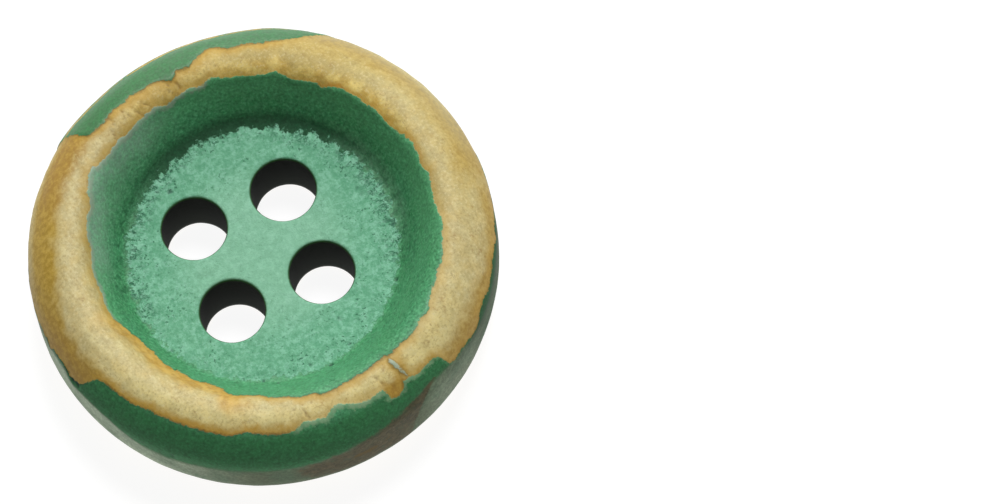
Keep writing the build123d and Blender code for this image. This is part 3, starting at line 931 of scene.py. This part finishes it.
    # painted shadow on the right of the shoulder
    paint_c = T.mix(T.mul(right_shadow_paint, 0.60), paint_c, lin(32, 62, 30))
    worn_c = T.scale(worn_c, T.step(rub, 0.32, 0.68, 1.18, 0.99))
    frayed = T.math("MULTIPLY_ADD", T.math("SUBTRACT", mid, 0.5), 1.1, worn)
    frayed = T.math("MULTIPLY_ADD", r1, 1.5, frayed)
    paint_c = T.mix(T.mul(T.step(frayed, 0.10, 1.05), T.step(worn, 0.02, 0.45), 0.86), paint_c, worn_c)
    paint_c = T.mix(T.mul(T.step(T.math("MULTIPLY_ADD", T.math("SUBTRACT", mid, 0.5), 2.4, rust), 0.20, 1.10), T.step(rust, 0.0, 0.3), 0.8), paint_c, lin(100, 80, 26))
    back_c = T.mix(T.step(mid, 0.3, 0.7), lin(66, 138, 96), lin(84, 156, 112))
    back_c = T.mix(T.step(big, 0.35, 0.65, 0, 0.5), back_c, lin(92, 158, 120))
    paint_c = T.mix(back, paint_c, back_c)
    paint_c = T.mix(T.mul(spot, 0.9), paint_c, lin(24, 70, 52))
    # painted shade: the bores darken from dark green at the top edge to near black inside
    paint_c = T.mix(T.step(bore, 0.10, 0.34), paint_c, lin(56, 98, 46))
    paint_c = T.mix(T.step(bore, 0.30, 0.62), paint_c, lin(14, 26, 13))
    # painted shade line along the paint's edge
    paint_c = T.mix(T.mul(darklip, T.step(d, -0.11, -0.01)), paint_c, lin(30, 70, 40))
    # the pale line along the paint's edge: partly the paint film's edge, partly painted sheen
    lip_lo = T.math("MULTIPLY_ADD", pale, -0.30, -0.05)
    lip = T.mul(T.step(T.math("MULTIPLY_ADD", r2, 0.25, d), lip_lo, T.mul(lip_lo, 0.30)), T.step(r1, -0.14, 0.06, 0.45, 1.0), T.step(pale, 0.0, 0.9, 0.04, 0.82))
    paint_c = T.mix(lip, paint_c, T.mix(T.step(over, 9.0, 9.5), lin(150, 166, 144), lin(140, 172, 132)))

    paint_c = T.mix(T.mul(T.attr("flake"), T.step(mid, 0.36, 0.64, 0.75, 0.50)), paint_c, lin(178, 180, 160))

    # ---- bare wood
    streak = T.noise(along, 4.2, 4, 0.62)
    line = T.noise(along, 13.0, 3, 0.65)
    wood = T.mix(T.step(streak, 0.36, 0.64), lin(206, 193, 140), lin(195, 179, 124))
    wood = T.mix(T.step(line, 0.54, 0.74, 0, 0.22), wood, lin(176, 152, 98))
    wood = T.mix(T.step(T.noise(mm, 1.6, 3, 0.6), 0.42, 0.66, 0, 0.6), wood, lin(198, 176, 112))
    wood = T.mix(T.mul(tan, 0.62), wood, lin(184, 164, 96))
    wood = T.mix(T.mul(bleach, 0.62), wood, lin(230, 214, 142))
    # painted highlights and painted light on the bare rim
    wood = T.mix(T.mul(rim_light_paint, 0.68), wood, T.mix(T.step(T.noise(mm, 1.9, 3, 0.6), 0.38, 0.60), lin(236, 210, 124), lin(206, 172, 84)))
    blot = T.mul(T.step(T.noise(mm, 2.7, 4, 0.72), 0.54, 0.68), T.step(T.noise(mm, 0.8, 2, 0.5), 0.40, 0.62))
    wood = T.mix(T.mul(blot, 0.60), wood, lin(160, 126, 66))
    wood = T.mix(T.step(grit, 0.54, 0.67, 0, 0.42), wood, lin(164, 140, 84))
    wood = T.scale(wood, T.step(T.noise(mm, 2.0, 4, 0.7), 0.36, 0.64, 1.09, 0.91))
    wood = T.mix(T.step(grit, 0.45, 0.33, 0, 0.35), wood, lin(226, 214, 166))
    gold = T.mix(T.step(mid, 0.34, 0.66), lin(190, 158, 66), lin(164, 132, 42))
    pale_gold = T.mix(T.step(mid, 0.34, 0.66), lin(194, 164, 80), lin(176, 142, 56))
    near = T.step(T.math("MULTIPLY_ADD", r1, 0.5, d), 0.02, 0.52, 1.0, 0.0)
    wood = T.mix(T.mul(near, gold_s, T.step(big, 0.30, 0.62, 0.55, 1.0)), wood, pale_gold)
    wood = T.mix(T.step(T.math("MULTIPLY_ADD", T.math("SUBTRACT", mid, 0.5), 0.5, stain), 0.05, 0.95), wood, gold)
    wood = T.mix(T.mul(T.step(T.math("MULTIPLY_ADD", r1, 0.5, d), 0.02, 0.30, 1.0, 0.0), orange, 0.85), wood, lin(196, 126, 40))
    wood = T.mix(T.mul(ochre, T.step(mid, 0.34, 0.66, 0.95, 0.72)), wood, T.mix(T.step(T.noise(mm, 2.2, 3, 0.6), 0.38, 0.62), lin(212, 172, 82), lin(184, 138, 46)))
    wood = T.mix(T.mul(brown, T.step(mid, 0.34, 0.64, 0.35, 0.85)), wood, lin(160, 120, 54))
    wood = T.mix(T.mul(T.attr("olive"), T.step(mid, 0.36, 0.64, 0.30, 0.48)), wood, lin(162, 154, 120))
    # painted light along the inner edge
    wood = T.scale(wood, T.math("MULTIPLY_ADD", T.attr("inner_edge_light_paint"), 0.20, 1.0))
    edge_gold = T.mul(T.step(T.math("MULTIPLY_ADD", r1, 0.5, d), 0.10, 0.52, 1.0, 0.0), burn, 0.75)
    wood = T.mix(edge_gold, wood, lin(190, 150, 56))
    rim_dark = T.mul(T.step(d, 0.00, 0.15, 1.0, 0.0), burn, T.step(r1, -0.16, 0.12, 0.45, 1.0))
    wood = T.mix(rim_dark, wood, lin(100, 76, 24))
    pore = T.mul(T.step(T.noise(T.vec("MULTIPLY", turn.outputs[0], (0.45, 1.0, 1.0)), 8.0, 2, 0.5), 0.63, 0.74),
                 T.step(T.noise(mm, 1.1, 2, 0.5), 0.42, 0.62))
    wood = T.mix(T.mul(pore, 0.45), wood, lin(140, 110, 60))
    wood = T.mix(T.mul(crack, 0.55), wood, lin(112, 78, 30))

    colour = T.mix(wood_mask, paint_c, wood)

    # ---- fine relief
    wall_h = T.math("MULTIPLY_ADD", fine, 0.14, T.mul(mid, 0.16))
    floor_h = T.math("MULTIPLY_ADD", fine, 0.55, T.mul(mid, 0.60))
    floor_h = T.math("MULTIPLY_ADD", speck, -0.5, floor_h)
    floor_h = T.math("MULTIPLY_ADD", shaded_gap, -0.7, floor_h)
    paint_h = T.mixf(floor, wall_h, floor_h)
    wood_h = T.math("MULTIPLY_ADD", line, 0.22, T.mul(streak, 0.22))
    wood_h = T.math("MULTIPLY_ADD", fine, 0.16, wood_h)
    film = T.step(d, -0.03, 0.03, 1.0, 0.0)
    height = T.math("MULTIPLY_ADD", film, 0.45, T.mixf(wood_mask, paint_h, wood_h))
    bump = T.node("ShaderNodeBump")
    bump.inputs["Strength"].default_value = 1.0
    bump.inputs["Distance"].default_value = 0.00004
    T.link(height, bump.inputs["Height"])

    rough = T.mixf(floor, T.step(mid, 0.3, 0.7, 0.56, 0.46), 0.80)
    rough = T.mixf(T.mul(deep, T.math("SUBTRACT", 1.0, floor)), rough, 0.93)
    rough = T.mixf(T.math("MAXIMUM", side, near_shoulder_shade), rough, 0.80)
    rough = T.mixf(wood_mask, rough, 0.62)
    rough = T.mixf(T.step(bore, 0.35, 0.9), rough, 0.95)

    bsdf = T.node("ShaderNodeBsdfPrincipled")
    T.link(colour, bsdf.inputs["Base Color"])
    T.link(rough, bsdf.inputs["Roughness"])
    bsdf.inputs["IOR"].default_value = 1.45
    T.link(bump.outputs[0], bsdf.inputs["Normal"])
    out = T.node("ShaderNodeOutputMaterial")
    T.link(bsdf.outputs[0], out.inputs[0])
    return mat


button.data.materials.append(button_material())
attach(button, "root")
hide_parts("button")

# ------------------------------------------------------------------------------
# Floor, light
# ------------------------------------------------------------------------------
floor_mesh = bpy.data.meshes.new("table")
floor_mesh.from_pydata([(-1.5, -1.5, 0), (1.5, -1.5, 0), (1.5, 1.5, 0), (-1.5, 1.5, 0)], [], [(0, 1, 2, 3)])
table = bpy.data.objects.new("table", floor_mesh)
scene.collection.objects.link(table)
table.location.z = -0.00002
fm = bpy.data.materials.new("table")
FT = Tree(fm)
fb = FT.node("ShaderNodeBsdfPrincipled")
fb.inputs["Base Color"].default_value = (0.16, 0.16, 0.16, 1)
fb.inputs["Roughness"].default_value = 0.9
fb.inputs["IOR"].default_value = 1.2
fb.inputs["Emission Color"].default_value = (1, 1, 1, 1)
fb.inputs["Emission Strength"].default_value = 0.92           # a white light table
fo = FT.node("ShaderNodeOutputMaterial")
FT.link(fb.outputs[0], fo.inputs[0])
table.data.materials.append(fm)


def area(name, az, el, dist, size, power, colour=(1, 1, 1)):
    l = bpy.data.lights.new(name, "AREA")
    l.shape = "DISK"
    l.size = size
    l.energy = power
    l.color = colour
    o = bpy.data.objects.new(name, l)
    scene.collection.objects.link(o)
    a, e = math.radians(az), math.radians(el)
    o.location = (dist * math.cos(e) * math.cos(a), dist * math.cos(e) * math.sin(a), dist * math.sin(e))
    o.rotation_euler = (-Vector(o.location)).to_track_quat("-Z", "Y").to_euler()
    return o


area("key", 50, 65, 0.45, 0.18, 1.84)
area("fill", 75, 20, 0.45, 0.30, 0.75)

world = bpy.data.worlds.new("studio")
world.use_nodes = True
scene.world = world
bg = world.node_tree.nodes.get("Background") or world.node_tree.nodes.new("ShaderNodeBackground")
bg.inputs[0].default_value = (1, 1, 1, 1)
bg.inputs[1].default_value = 0.08

scene.view_settings.view_transform = "Standard"
scene.view_settings.look = "None"
scene.view_settings.exposure = 0.0
scene.view_settings.gamma = 1.0
